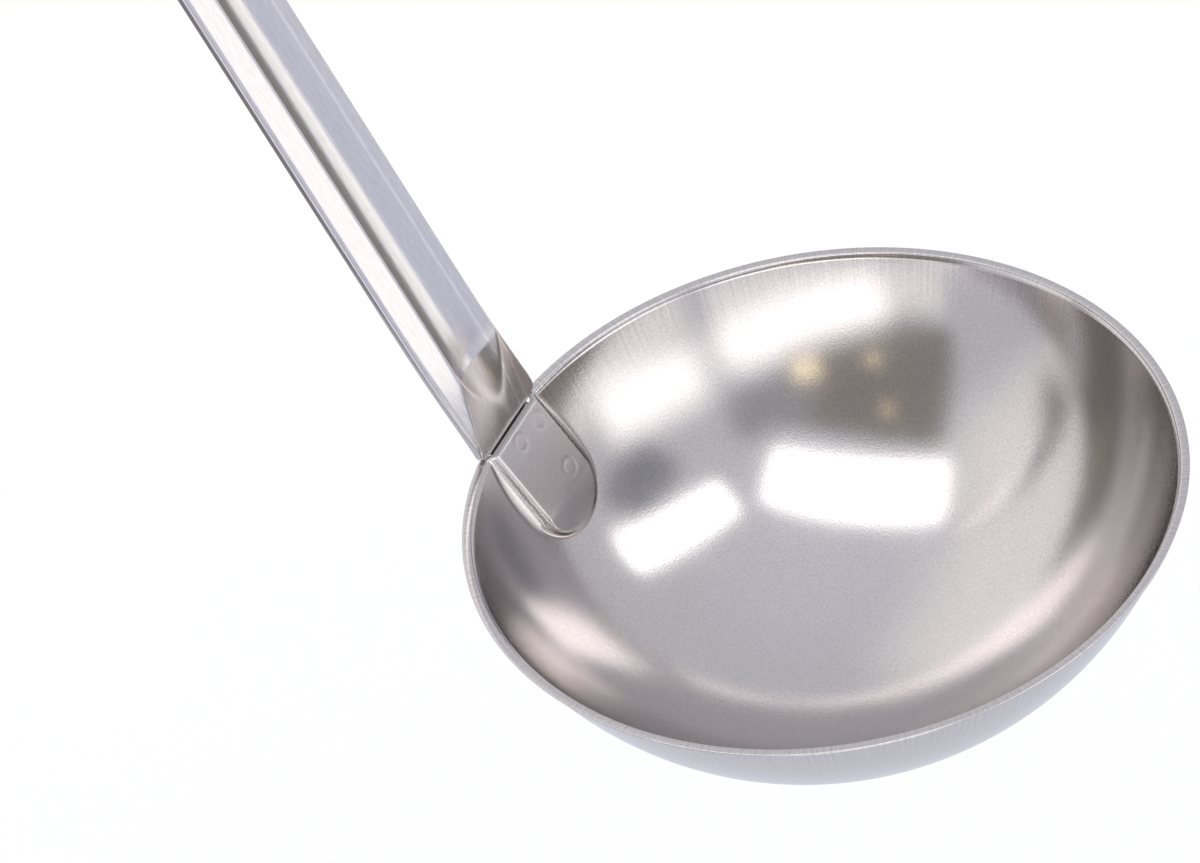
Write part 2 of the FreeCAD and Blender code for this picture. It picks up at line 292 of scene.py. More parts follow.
# %% [markdown]
# Spot welding leaves round marks, where the electrodes sank a little into the sheet. They are rings in the
# mesh and not a picture on it, so that they catch the light as real ones do. The flat itself also gets a
# mark, a number at each vertex that is one on the platform and nought elsewhere. The steel reads it later.

# %% Mark the platform and its welds
MARK_MARGIN = 0.5
WELD_MARKS = ((-1.2, 2.2), (3.9, 2.6), (2.85, 10.5))
WELD_RING_RADIUS = 1.15
WELD_RING_WIDTH = 0.3
WELD_RING_DEPTH = 0.05


def platform_mark(x, y, z, depth):
    """One on the platform's flat, falling to nought within a margin outside its edges and off its plane."""
    down = (x - PLATFORM_X) * slope_sin - z * slope_cos
    off = np.abs((x - PLATFORM_X) * slope_cos + z * slope_sin - depth)
    outside = np.maximum(np.abs(y) - PLATFORM_HALF_WIDTH, down - PLATFORM_LENGTH)
    return np.clip(1 - outside / MARK_MARGIN, 0, 1) * np.clip(1 - off / MARK_MARGIN, 0, 1)


def weld_marks(x, y, z):
    """How far the electrodes sank in: round each weld, a ring-shaped groove that fades like a bell curve."""
    down = (x - PLATFORM_X) * slope_sin - z * slope_cos
    sunk = np.zeros_like(x)
    for right, drop in WELD_MARKS:
        away = np.hypot(y - right, down - drop)
        sunk += WELD_RING_DEPTH * bell(away, WELD_RING_RADIUS, WELD_RING_WIDTH)
    return sunk


print("weld rings:", len(WELD_MARKS))

# %% [markdown]
# Now the profile is carried round the rim's axis and pressed. The columns lie closest where the platform is,
# so that its edges and rings are smooth. The last column joins the first, and the rows at the middle of the
# bottom shrink to a point on each face, so the sheet is closed.

# %% Make the bowl
BOWL_COLUMNS = 270
PRESS_SWING = math.radians(11)
PRESS_SWING_BLEND = 0.02
PRESS_COLUMN_CROWDING = 9


def bowl_swings():
    """The angles of the columns round the axis, closer together within the platform's swing."""
    def crowding(angle):
        """One round the bowl, more on both sides of the platform's middle."""
        return 1 + PRESS_COLUMN_CROWDING * fading(np.abs(angle), PRESS_SWING, PRESS_SWING_BLEND)

    return spread(-math.pi, math.pi, BOWL_COLUMNS + 1, crowding)[None, :-1]


def make_bowl():
    """The profile carried round the rim's axis, pressed at the platform, as one closed grid."""
    radius, height, depth = (row[:, None] for row in bowl_profile())
    swing = bowl_swings()
    z = np.broadcast_to(height, (len(height), BOWL_COLUMNS))
    y = radius * np.sin(swing)
    x = press_platform(-radius * np.cos(swing), y, z, depth)
    pressed = platform_mark(x, y, z, depth)
    sunk = pressed * np.where(depth == BOWL_SHEET, weld_marks(x, y, z), 0)
    x = x - sunk * slope_cos
    z = z - sunk * slope_sin
    index = np.arange(x.size).reshape(x.shape)
    index = np.concatenate((index, index[:, :1]), axis=1)
    points = np.stack((x, y, z), axis=-1).reshape(-1, 3)
    return sheet_piece("ladle_bowl", points, grid_faces(index), {"platform": pressed})


bowl = make_bowl()
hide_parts("bowl")

# %% [markdown]
# The handle leans out over the rim. It is easiest to draw in its own directions: out from its front face,
# right across it and up along it. They start just behind the bend, where the strip turns into the tab. The
# bend lies a little above the rim, in the platform's plane. One helper turns such places back to the rim's.

# %% The handle's own directions
HANDLE_LEAN = math.radians(21.3)
HANDLE_LENGTH = 262.0
HANDLE_SHEET = 1.0
HALF_WIDTH = 8.0
BEND_HEIGHT = 0.4
BEND_STEP = 0.8
TAB_TURN = PLATFORM_SLOPE - HANDLE_LEAN
bend_down = -BEND_HEIGHT / slope_cos
BEND_PLACE = np.array((PLATFORM_X + bend_down * slope_sin, 0, -bend_down * slope_cos))
HANDLE_OUT = np.array((math.cos(HANDLE_LEAN), 0, math.sin(HANDLE_LEAN)))
HANDLE_RIGHT = np.array((0, 1, 0))
HANDLE_UP = np.array((-math.sin(HANDLE_LEAN), 0, math.cos(HANDLE_LEAN)))
HANDLE_ZERO = BEND_PLACE - BEND_STEP * HANDLE_OUT


def on_handle(out, right, up):
    """Points given in the handle's own directions, as points from the rim's middle."""
    return (HANDLE_ZERO + out[..., None] * HANDLE_OUT + right[..., None] * HANDLE_RIGHT
            + up[..., None] * HANDLE_UP)


print("bend, mm from the rim's middle:", BEND_PLACE.round(2))

# %% [markdown]
# Across, the strip's section is a brim, a steep wall, a ridge and a shallow dish. Along, the dish closes, the
# channel comes down by a nose and spreads to the full width at the shoulders. At the far end it runs out to
# the flat with the hole. A reach says from which difference in height two such faces blend into a round.

# %% The channel's sizes
BRIM_WIDTH = 0.65
WALL_RUN = 1.85
CHANNEL_RISE = 2.8
DISH_DEPTH = 1.05
DISH_END_HEIGHT = 3.0
DISH_END_RUN = 11.0
NOSE_LENGTH = 12.0
NOSE_POWER = 1.15
NECK_SPREAD = 1.2
NECK_SPREAD_RUN = 9.5
BRIM_LIFT = 0.8
BRIM_LIFT_RUN = 12.0
END_FLAT_LENGTH = 20.0
END_RUN_OUT = 14.0
SHOULDER_WIDTH = 2.3
SHOULDER_HEIGHT = -0.2
SHOULDER_ROUND = 0.6
SHOULDER_BLEND = 0.8
GAP_DEPTH = 0.6
GAP_MIDDLE = -0.75
GAP_SPAN = 0.45
DISH_EDGE_REACH = 0.12
FOOT_REACH = 0.35
RIDGE_REACH = 0.3
BEND_REACH = 0.2
RUN_OUT_REACH = 0.2

half_tab = HALF_WIDTH - SHOULDER_WIDTH
half_foot = HALF_WIDTH - BRIM_WIDTH
half_ridge = half_foot - WALL_RUN
wall_slope = CHANNEL_RISE / WALL_RUN
dish_slope = DISH_DEPTH / half_ridge
nose_drop = CHANNEL_RISE - BEND_STEP
tab_slope = math.tan(TAB_TURN)
end_slope = CHANNEL_RISE / END_RUN_OUT
print("half widths, mm: tab %.2f, foot %.2f, ridge %.2f" % (half_tab, half_foot, half_ridge))

# %% [markdown]
# The handle is one strip of sheet, so it is a height field twice over: how far the front face and the back
# face stand out, at each place across and along the strip. It could be swept along a path, but the channel
# changes all the way down its neck. With heights, each form is one line, and the rounded smaller or larger
# of two forms joins them. The front alone has the dark gap behind the platform and the shoulders' round edge.

# %% The height of the strip's faces
def eased(part):
    """A smooth step from nought to one: 3 part^2 - 2 part^3, held level outside."""
    part = np.clip(part, 0, 1)
    return part * part * (3 - 2 * part)


def strip_height(right, up, depth):
    """How far out a face stands: each form of the strip is moved back by depth, square to its own slope."""
    def moved(height, slope):
        """A form moved back: its height less the depth times the length of a step of this slope."""
        return height - depth * math.hypot(1, slope)

    side = np.abs(right)
    brim = moved(BRIM_LIFT * bell(up, 0, BRIM_LIFT_RUN), 0)
    foot = half_foot + NECK_SPREAD * bell(up, 0, NECK_SPREAD_RUN)
    wall = moved((foot - side) * wall_slope, wall_slope)
    short = np.clip(1 - up / NOSE_LENGTH, 0, None)
    nose = CHANNEL_RISE - nose_drop * short ** NOSE_POWER
    opened = eased((up - DISH_END_HEIGHT) / DISH_END_RUN)
    pressed = rounded_max(0, DISH_DEPTH * (opened - (side / half_ridge) ** 2), DISH_EDGE_REACH)
    tab = moved(BEND_STEP - up * tab_slope, tab_slope)
    web = rounded_max(moved(nose - pressed, dish_slope), tab, BEND_REACH)
    if depth == 0:
        web = web - GAP_DEPTH * bell(up, GAP_MIDDLE, GAP_SPAN)
    channel = rounded_min(rounded_max(brim, wall, FOOT_REACH), web, RIDGE_REACH)
    run_out = moved((HANDLE_LENGTH - END_FLAT_LENGTH - up) * end_slope, end_slope)
    run_out = rounded_max(moved(0, 0), run_out, RUN_OUT_REACH)
    formed = np.where(up < 0, web, rounded_min(channel, run_out, RUN_OUT_REACH))
    if depth == 0:
        low = np.clip(SHOULDER_ROUND + SHOULDER_HEIGHT - up, 0, SHOULDER_ROUND)
        turned = SHOULDER_ROUND - np.sqrt(SHOULDER_ROUND ** 2 - low ** 2)
        formed = formed - turned * eased((side - half_tab) / SHOULDER_BLEND)
    return formed


middle_up = np.array(HANDLE_LENGTH / 2)
print("ridge and dish halfway up, mm:",
      [round(float(strip_height(np.array(right), middle_up, 0)), 2) for right in (half_ridge, 0.0)])

# %% [markdown]
# Seen from the front, the strip's outline is a tab with round corners, two shoulders, straight edges and a
# rounded end, and near that end the hanging hole. The rows of the grid are straight lines from the middle,
# or from the hole's edge, out to the outline. Each row needs just those two points, so the outline and the
# hole are drawn as short runs of lines and arcs.

# %% The handle's outline
SHOULDER_RADIUS = 1.2
NOOK_RADIUS = 0.25
TAB_END_CLEARANCE = 0.4
TAB_CORNER_RADIUS = 2.5
END_CORNER_RADIUS = 6.5
ARC_POINTS = 24

TAB_LENGTH = (PLATFORM_LENGTH - TAB_END_CLEARANCE + BEND_HEIGHT / slope_cos) * math.cos(TAB_TURN)
tab_foot = TAB_CORNER_RADIUS - TAB_LENGTH
shoulder_foot = SHOULDER_HEIGHT - NOOK_RADIUS
shoulder_top = SHOULDER_HEIGHT + SHOULDER_RADIUS


def arc(right, up, radius, start, end, outward=1):
    """Points of an arc, and there the direction out of the sheet; an inside corner has outward -1."""
    turn = np.radians(np.linspace(start, end, ARC_POINTS))
    out_right, out_up = np.cos(turn), np.sin(turn)
    return np.stack((right + radius * out_right, up + radius * out_up, outward * out_right, outward * out_up))


def handle_outline():
    """Right half of the outline, from the tab to the far end: place, outward direction, length so far."""
    end_start = HANDLE_LENGTH - END_CORNER_RADIUS
    runs = (
        np.array(((0,), (-TAB_LENGTH,), (0,), (-1,))),
        arc(half_tab - TAB_CORNER_RADIUS, tab_foot, TAB_CORNER_RADIUS, -90, 0),
        arc(half_tab + NOOK_RADIUS, shoulder_foot, NOOK_RADIUS, 180, 90, -1),
        arc(HALF_WIDTH - SHOULDER_RADIUS, shoulder_top, SHOULDER_RADIUS, -90, 0),
        arc(HALF_WIDTH - END_CORNER_RADIUS, end_start, END_CORNER_RADIUS, 0, 90),
        np.array(((0,), (HANDLE_LENGTH,), (0,), (1,))),
    )
    outline = np.concatenate(runs, axis=1)
    steps = np.hypot(*np.diff(outline[:2], axis=1))
    return outline, np.concatenate(([0], np.cumsum(steps)))


outline, outline_length = handle_outline()
print("tab %.2f mm long, outline %.1f mm" % (TAB_LENGTH, outline_length[-1]))

# %% [markdown]
# Each row of the grid starts on the strip's middle line and ends on the outline. Near the tab's end the rows
# fan out from one point, and past the hole's foot they start on the hole's edge instead, which leaves the
# hole open. The rows lie closest at the joint, where the neck, the bend and the shoulders follow one another.

# %% The handle's rows and columns
HOLE_RADIUS = frame["record"]["mounts"][0]["dims"]["r_mm"]
HOLE_INSET = 9.0
HANDLE_ROWS = 340
JOINT_CROWDING = 38
JOINT_SPAN = 14
RUN_OUT_CROWDING = 10
RUN_OUT_SPAN = 11
HOLE_CROWDING = 12
FLAT_BELL_POWER = 4
HALF_COLUMNS = 46
CORNER_CROWDING = 6
RIDGE_SPAN = 0.07
FOOT_SPAN = 0.06

TAB_TURNED, SHOULDER_BELOW, SHOULDER_ABOVE, END_TURNED = (
    outline_length[[ARC_POINTS, ARC_POINTS + 1, 3 * ARC_POINTS, 3 * ARC_POINTS + 1]])
HOLE_ROWS_START = END_TURNED - END_CORNER_RADIUS
HOLE_ROWS_END = END_TURNED + END_CORNER_RADIUS / 2
hole_up = HANDLE_LENGTH - HOLE_INSET


def row_places():
    """Where the rows meet the outline, as lengths along it: closer at the joint, the run-out and the hole."""
    run_out_middle = END_TURNED - END_FLAT_LENGTH - END_RUN_OUT / 2 + END_CORNER_RADIUS

    def crowding(at):
        """One along the plain strip, with a flat-topped bell at each busy place and a step at the hole."""
        return (1 + JOINT_CROWDING * bell(at, SHOULDER_BELOW, JOINT_SPAN, FLAT_BELL_POWER)
                + RUN_OUT_CROWDING * bell(at, run_out_middle, RUN_OUT_SPAN, FLAT_BELL_POWER)
                + HOLE_CROWDING * (at > HOLE_ROWS_START))

    length = spread(0, outline_length[-1], HANDLE_ROWS, crowding)
    return np.sort(np.append(length, (HOLE_ROWS_START, HOLE_ROWS_END)))


def row_starts(length):
    """A row's inner end: up the middle line, then round the hole's edge by its cosine and sine."""
    hole_foot = hole_up - HOLE_RADIUS
    keys = (0, TAB_TURNED, SHOULDER_BELOW, SHOULDER_ABOVE, HOLE_ROWS_START, outline_length[-1])
    heights = (tab_foot, tab_foot, shoulder_foot, shoulder_top, hole_foot, hole_foot)
    turn = math.pi * np.clip((length - HOLE_ROWS_START) / (HOLE_ROWS_END - HOLE_ROWS_START), 0, 1)
    round_hole = hole_up - HOLE_RADIUS * np.cos(turn)
    up = np.where(length > HOLE_ROWS_START, round_hole, np.interp(length, keys, heights))
    return HOLE_RADIUS * np.sin(turn), up


def column_parts():
    """The columns as parts of a row from nought to one: closer at the ridge and at the wall's foot."""
    def crowding(part):
        """One across the dish, with a bell at each corner of the section."""
        return (1 + CORNER_CROWDING * bell(part, half_ridge / HALF_WIDTH, RIDGE_SPAN)
                + CORNER_CROWDING * bell(part, half_foot / HALF_WIDTH, FOOT_SPAN))

    return spread(0, 1, HALF_COLUMNS, crowding)


print("hole radius %.1f mm, %.1f mm from the end" % (HOLE_RADIUS, HOLE_INSET))

# %% [markdown]
# The front and the back are the same rows at two depths. Between them a small round leads over the cut edge,
# so one row of points runs from the middle over the edge and back under it. The left half is the right half
# mirrored, and a strip of faces lines the hole.

# %% Make the handle
CUT_EDGE_RADIUS = 0.2
CUT_EDGE_STEPS = 4


def make_handle():
    """Front face, rounded cut edge and back face as rows from the middle to the outline, for both halves."""
    length = row_places()
    edge = (np.interp(length, outline_length, row)[:, None] for row in outline)
    edge_right, edge_up, out_right, out_up = edge
    inner_right, inner_up = (start[:, None] for start in row_starts(length))
    across = column_parts()
    right = inner_right + (edge_right - CUT_EDGE_RADIUS * out_right - inner_right) * across
    up = inner_up + (edge_up - CUT_EDGE_RADIUS * out_up - inner_up) * across
    front = strip_height(right, up, 0)
    back = strip_height(right, up, HANDLE_SHEET)
    turn = np.linspace(math.pi / 2, 0, CUT_EDGE_STEPS + 1)[1:]
    reach = CUT_EDGE_RADIUS * np.cos(turn)
    drop = CUT_EDGE_RADIUS * (1 - np.sin(turn))
    rim_right = right[:, -1:] + reach * out_right
    rim_up = up[:, -1:] + reach * out_up
    right = np.concatenate((right, rim_right, rim_right[:, ::-1], right[:, ::-1]), axis=1)
    up = np.concatenate((up, rim_up, rim_up[:, ::-1], up[:, ::-1]), axis=1)
    out = np.concatenate((front, front[:, -1:] - drop, (back[:, -1:] + drop)[:, ::-1], back[:, ::-1]), axis=1)
    halves = np.stack((on_handle(out, right, up), on_handle(out, -right, up)))
    index = np.arange(halves[..., 0].size).reshape(halves.shape[:3])
    hole_rows = np.flatnonzero((length >= HOLE_ROWS_START) & (length <= HOLE_ROWS_END))
    linings = [grid_faces(half[hole_rows][:, [-1, 0]]) for half in index]
    faces = np.concatenate([grid_faces(half) for half in index] + linings)
    return sheet_piece("ladle_handle", halves.reshape(-1, 3), faces)


handle = make_handle()
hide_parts("handle")

# %% [markdown]
# Stainless steel is all reflection, so its material is short: a metal with a colour a little under white,
# and a roughness that says how far the polish blurs what it mirrors. What makes it steel and not chrome is
# that both change over the surface, in the fine grain that the polishing wheel and the rolling mill leave.
# Nodes do all of this, and a few helpers keep their wiring readable. A shader measures in metres, so lengths
# and scales in the materials are in metres too.

# %% Helpers for materials
NOISE_LOW = 0.3
NOISE_HIGH = 0.7


def add_node(tree, kind, inputs=(), **settings):
    """A new node with some settings; each input is a plain value or the socket that feeds it."""
    node = tree.nodes.new(kind)
    for name, value in settings.items():
        setattr(node, name, value)
    for name, value in dict(inputs).items():
        if isinstance(value, bpy.types.NodeSocket):
            tree.links.new(value, node.inputs[name])
        else:
            node.inputs[name].default_value = value
    return node


def worked_out(tree, operation, *values):
    """One step of arithmetic on plain values or sockets, as a Math node: its result."""
    return add_node(tree, "ShaderNodeMath", dict(enumerate(values)), operation=operation).outputs[0]


def stretched(tree, noise, low, high):
    """A noise's usual range stretched to run from low to high: its result."""
    ends = {"From Min": NOISE_LOW, "From Max": NOISE_HIGH, "To Min": low, "To Max": high}
    return add_node(tree, "ShaderNodeMapRange", {"Value": noise.outputs["Fac"], **ends}).outputs["Result"]


def new_material(name):
    """An empty node material: its node tree, its Principled shader and its object coordinates."""
    material = bpy.data.materials.new(name)
    material.use_nodes = True
    tree = material.node_tree
    shader = tree.nodes["Principled BSDF"]
    place = tree.nodes.new("ShaderNodeTexCoord").outputs["Object"]
    return material, tree, shader, place


def dress(piece, material):
    """Give a piece this one material."""
    piece.data.materials.clear()
    piece.data.materials.append(material)


print("materials that came with the packed model:", len(bpy.data.materials))

# %% [markdown]
# Every steel here has the same fine grain: flecks about a quarter of a millimetre wide, from drum polishing
# on the bowl and from the rolling mill on the strip. They make the mirror a little uneven, so they go into
# the bump, and they catch light differently, so they go into the colour too. One node group makes both, and
# each steel feeds it its own coordinates.

# %% The grain that all the steels share
GRAIN_DETAIL = 3


def make_grain_group():
    """Fine noise at a scale, put out as a bump height and as a shade that varies about one by the fleck."""
    group = bpy.data.node_groups.new("steel_grain", "ShaderNodeTree")
    for name, kind in (("Place", "Vector"), ("Scale", "Float"), ("Fleck", "Float")):
        group.interface.new_socket(name, in_out="INPUT", socket_type="NodeSocket" + kind)
    for name in ("Height", "Shade"):
        group.interface.new_socket(name, in_out="OUTPUT", socket_type="NodeSocketFloat")
    given = add_node(group, "NodeGroupInput").outputs
    noise = add_node(group, "ShaderNodeTexNoise",
                     {"Vector": given["Place"], "Scale": given["Scale"], "Detail": GRAIN_DETAIL})
    shade = worked_out(group, "MULTIPLY_ADD", stretched(group, noise, -1, 1), given["Fleck"], 1.0)
    add_node(group, "NodeGroupOutput", {"Height": noise.outputs["Fac"], "Shade": shade})
    return group


grain_group = make_grain_group()


def grain_of(tree, place, scale, fleck):
    """The grain group placed in a material: its height and its shade."""
    grain = add_node(tree, "ShaderNodeGroup", node_tree=grain_group)
    tree.links.new(place, grain.inputs["Place"])
    grain.inputs["Scale"].default_value = scale
    grain.inputs["Fleck"].default_value = fleck
    return grain.outputs["Height"], grain.outputs["Shade"]


def shaded(tree, colour, shades):
    """A colour times the product of some shades."""
    tint = add_node(tree, "ShaderNodeRGB").outputs[0]
    tint.default_value = (*colour, 1)
    for shade in shades:
        scaled = add_node(tree, "ShaderNodeVectorMath", {0: tint, "Scale": shade}, operation="SCALE")
        tint = scaled.outputs["Vector"]
    return tint


print("grain group:", [socket.name for socket in grain_group.interface.items_tree])

# %% [markdown]
# The bowl's steel was drawn through a die, which left fine lines down the wall under the rim. A picture of
# lines could be wrapped round it, but noise needs no picture. The lines stand side by side round the bowl's
# axis, so the noise reads the angle about it, and they fade out below the rim.

# %% The die's lines
LINES_PER_TURN = 620
LINE_DETAIL = 4
LINE_TOP = -0.0008
LINE_FOOT = -0.0085
LINE_FLECK = 0.07


def draw_lines(tree, place):
    """Shade of the die's lines: noise over the angle round the axis, faded from the rim down to the foot."""
    parts = add_node(tree, "ShaderNodeSeparateXYZ", {0: place}).outputs
    angle = worked_out(tree, "ARCTAN2", parts["Y"], parts["X"])
    line = add_node(tree, "ShaderNodeTexNoise",
                    {"W": angle, "Scale": LINES_PER_TURN / math.tau, "Detail": LINE_DETAIL},
                    noise_dimensions="1D")
    near_rim = add_node(tree, "ShaderNodeMapRange",
                        {"Value": parts["Z"], "From Min": LINE_FOOT, "From Max": LINE_TOP},
                        interpolation_type="SMOOTHSTEP").outputs["Result"]
    return worked_out(tree, "MULTIPLY_ADD", stretched(tree, line, -LINE_FLECK, LINE_FLECK), near_rim, 1.0)


print("die lines fade out %.1f mm below the rim" % (-LINE_FOOT / MM))

# %% [markdown]
# After drawing, the bowl was drum polished to a satin whose blur changes slowly from place to place, so a
# wide noise moves the roughness a little. The platform was squeezed between dies and is duller. It could have
# a material of its own, but then its edge would be hard, so the mark that the mesh carries mixes the two.

# %% The bowl's steel
BOWL_COLOUR = (0.61, 0.575, 0.57)
BOWL_ROUGHNESS = 0.15
PLATFORM_ROUGHNESS = 0.32
GRAIN_SCALE = 3600
GRAIN_RELIEF = 0.000007
BOWL_FLECK = 0.09
CLOUD_SCALE = 90
CLOUD_DETAIL = 3
CLOUD_ROUGHNESS = 0.05


def make_bowl_steel():
    """Satin steel with grain, die lines and a slow cloud in its polish, duller on the platform."""
    material, tree, shader, place = new_material("bowl_steel")
    place = add_node(tree, "ShaderNodeMapping", {"Vector": place, "Location": tuple(RIM_CENTRE)},
                     vector_type="TEXTURE").outputs["Vector"]
    height, shade = grain_of(tree, place, GRAIN_SCALE, BOWL_FLECK)
    pressed = add_node(tree, "ShaderNodeAttribute", attribute_name="platform").outputs["Fac"]
    lines = add_node(tree, "ShaderNodeMapRange",
                     {"Value": pressed, "To Min": draw_lines(tree, place), "To Max": 1.0})
    colour = shaded(tree, BOWL_COLOUR, (shade, lines.outputs["Result"]))
    cloud = add_node(tree, "ShaderNodeTexNoise",
                     {"Vector": place, "Scale": CLOUD_SCALE, "Detail": CLOUD_DETAIL})
    polish = stretched(tree, cloud, BOWL_ROUGHNESS - CLOUD_ROUGHNESS / 2,
                       BOWL_ROUGHNESS + CLOUD_ROUGHNESS / 2)
    rough = add_node(tree, "ShaderNodeMapRange",
                     {"Value": pressed, "To Min": polish, "To Max": PLATFORM_ROUGHNESS})
    bump = add_node(tree, "ShaderNodeBump", {"Height": height, "Distance": GRAIN_RELIEF})
    shader.inputs["Metallic"].default_value = 1
    tree.links.new(colour, shader.inputs["Base Color"])
    tree.links.new(rough.outputs["Result"], shader.inputs["Roughness"])
    tree.links.new(bump.outputs["Normal"], shader.inputs["Normal"])
    return material


dress(bowl, make_bowl_steel())
print("bowl dressed:", bowl.data.materials[0].name)

# %% [markdown]
# The handle's strip kept the mill's bright finish, with grain drawn out along its length. A Mapping node
# turns the coordinates to the handle's lean and stretches them along it, so the same flecks become short
# streaks that follow the strip. Two light lines along it are painted highlights: a brighter colour that
# stands in for the shine of shallow beads on the strip. The welds are hidden between the sheets: dull
# fused steel with coarse grain.

# %% The handle's and the welds' steel
HANDLE_COLOUR = (0.62, 0.59, 0.585)
HANDLE_ROUGHNESS = 0.16
HANDLE_STRETCH = 7
HANDLE_FLECK = 0.06
# Painted highlights: two lines of brighter colour along the strip, standing in for the shine of shallow
# beads.
PAINTED_HIGHLIGHT_LINES = (0.0037, 0.0056)
PAINTED_HIGHLIGHT_WIDTH = 0.0004
PAINTED_HIGHLIGHT_GAIN = 0.2
WELD_COLOUR = (0.52, 0.51, 0.50)
WELD_ROUGHNESS = 0.4
WELD_GRAIN_SCALE = 1500
WELD_FLECK = 0.12


def painted_highlight_lines(tree, place, lines):
    """Painted highlight: lines of brighter colour along the strip, each at its place across: one, and a gain
    that fades sideways.
    """
    across = add_node(tree, "ShaderNodeSeparateXYZ", {0: place}).outputs["Y"]
    for line in lines:
        away = worked_out(tree, "ABSOLUTE", worked_out(tree, "SUBTRACT", across, line))
        yield add_node(tree, "ShaderNodeMapRange", {"Value": away, "From Max": PAINTED_HIGHLIGHT_WIDTH,
                                                    "To Min": 1 + PAINTED_HIGHLIGHT_GAIN, "To Max": 1.0},
                       interpolation_type="SMOOTHSTEP").outputs["Result"]


def make_strip_steel(name, colour, roughness, scale, fleck, stretch=1, lines=()):
    """Steel whose grain is stretched along the handle: flecks in the colour, the bump and the roughness, and
    the colour brighter along any painted highlight lines.
    """
    material, tree, shader, place = new_material(name)
    place = add_node(tree, "ShaderNodeMapping", {"Vector": place, "Location": tuple(placed(HANDLE_ZERO)),
                                                 "Rotation": (0, -HANDLE_LEAN, 0), "Scale": (1, 1, stretch)},
                     vector_type="TEXTURE").outputs["Vector"]
    height, shade = grain_of(tree, place, scale, fleck)
    # The lines given here are painted highlights: the colour is brighter along them.
    tint = shaded(tree, colour, (shade, *painted_highlight_lines(tree, place, lines)))
    bump = add_node(tree, "ShaderNodeBump", {"Height": height, "Distance": GRAIN_RELIEF})
    shader.inputs["Metallic"].default_value = 1
    tree.links.new(tint, shader.inputs["Base Color"])
    tree.links.new(worked_out(tree, "MULTIPLY", shade, roughness), shader.inputs["Roughness"])
    tree.links.new(bump.outputs["Normal"], shader.inputs["Normal"])
    return material


dress(handle, make_strip_steel("handle_steel", HANDLE_COLOUR, HANDLE_ROUGHNESS, GRAIN_SCALE, HANDLE_FLECK,
                               HANDLE_STRETCH, PAINTED_HIGHLIGHT_LINES))
weld_steel = make_strip_steel("weld_steel", WELD_COLOUR, WELD_ROUGHNESS, WELD_GRAIN_SCALE, WELD_FLECK)
for nugget in ("weld_nugget_upper_left", "weld_nugget_upper_right", "weld_nugget_lower"):
    dress(frame["nodes"][nugget], weld_steel)
print("handle dressed:", handle.data.materials[0].name)

# %% [markdown]
# The camera stands where the photographer stood. Its direction, roll and lens were fitted to the rim's
# ellipse, the handle's edges and the platform's corners in the photograph. A long lens from well back
# keeps the perspective as weak as it is there. The camera's own axes are the columns of its matrix.

# %% The camera
CAMERA_AZIMUTH = math.radians(34.14)
CAMERA_ELEVATION = math.radians(41.95)
CAMERA_ROLL = math.radians(-12.31)
CAMERA_DISTANCE = 1200.0
CAMERA_RIGHT = -30.32
CAMERA_UP = 8.41
LENS = 265.8
SENSOR = 36.0


def camera_matrix():
    """The camera's right, up and back axes and its place: level axes turned by the roll, then moved off."""
    back = np.array((math.sin(CAMERA_AZIMUTH) * math.cos(CAMERA_ELEVATION),
                     -math.cos(CAMERA_AZIMUTH) * math.cos(CAMERA_ELEVATION), math.sin(CAMERA_ELEVATION)))
    level_right = np.array((math.cos(CAMERA_AZIMUTH), math.sin(CAMERA_AZIMUTH), 0))
    level_up = np.cross(back, level_right)
    right = math.cos(CAMERA_ROLL) * level_right + math.sin(CAMERA_ROLL) * level_up
    up = np.cross(back, right)
    station = placed(CAMERA_DISTANCE * back + CAMERA_RIGHT * right + CAMERA_UP * up)
    return Matrix((*zip(right, up, back, station), (0, 0, 0, 1)))


camera = bpy.data.objects.new("camera", bpy.data.cameras.new("camera"))
camera.data.lens = LENS
camera.data.sensor_width = SENSOR
camera.matrix_world = camera_matrix()
bpy.context.scene.collection.objects.link(camera)
bpy.context.scene.camera = camera
print("camera at", [round(value, 3) for value in camera.matrix_world.translation])

# %% [markdown]
# The floor is a plain white disc some way below the ladle. To the camera and in the steel it shows as even
# white paper, so a share of it glows where such rays meet it. The rest stays plain matt paper, which keeps
# the ladle's faint shadow, and that rest fades out towards the edge, so that the disc has no visible end.

# %% The floor
FLOOR_DROP = 150.0
FLOOR_RADIUS = 280.0
FLOOR_SIDES = 96
FLOOR_GLOW = 0.88
FLOOR_FADE = 0.6
PAPER_WHITE = (0.9, 0.9, 0.9, 1)
PURE_WHITE = (1, 1, 1, 1)
STEEL_SEES = (0.74, 0.775, 0.87, 1)
MIX_FIRST = 6
MIX_SECOND = 7
MIX_RESULT = 2

floor_middle = np.array((0, 0, -BOWL_DEPTH - FLOOR_DROP))
floor_turn = np.linspace(0, 2 * math.pi, FLOOR_SIDES, endpoint=False)
floor_edge = FLOOR_RADIUS * np.stack((np.cos(floor_turn), np.sin(floor_turn), np.zeros(FLOOR_SIDES)), axis=-1)
floor_mesh = bpy.data.meshes.new("floor")
floor_mesh.from_pydata(placed(floor_edge + floor_middle), [], [tuple(range(FLOOR_SIDES))])
floor = bpy.data.objects.new("floor", floor_mesh)
bpy.context.scene.collection.objects.link(floor)


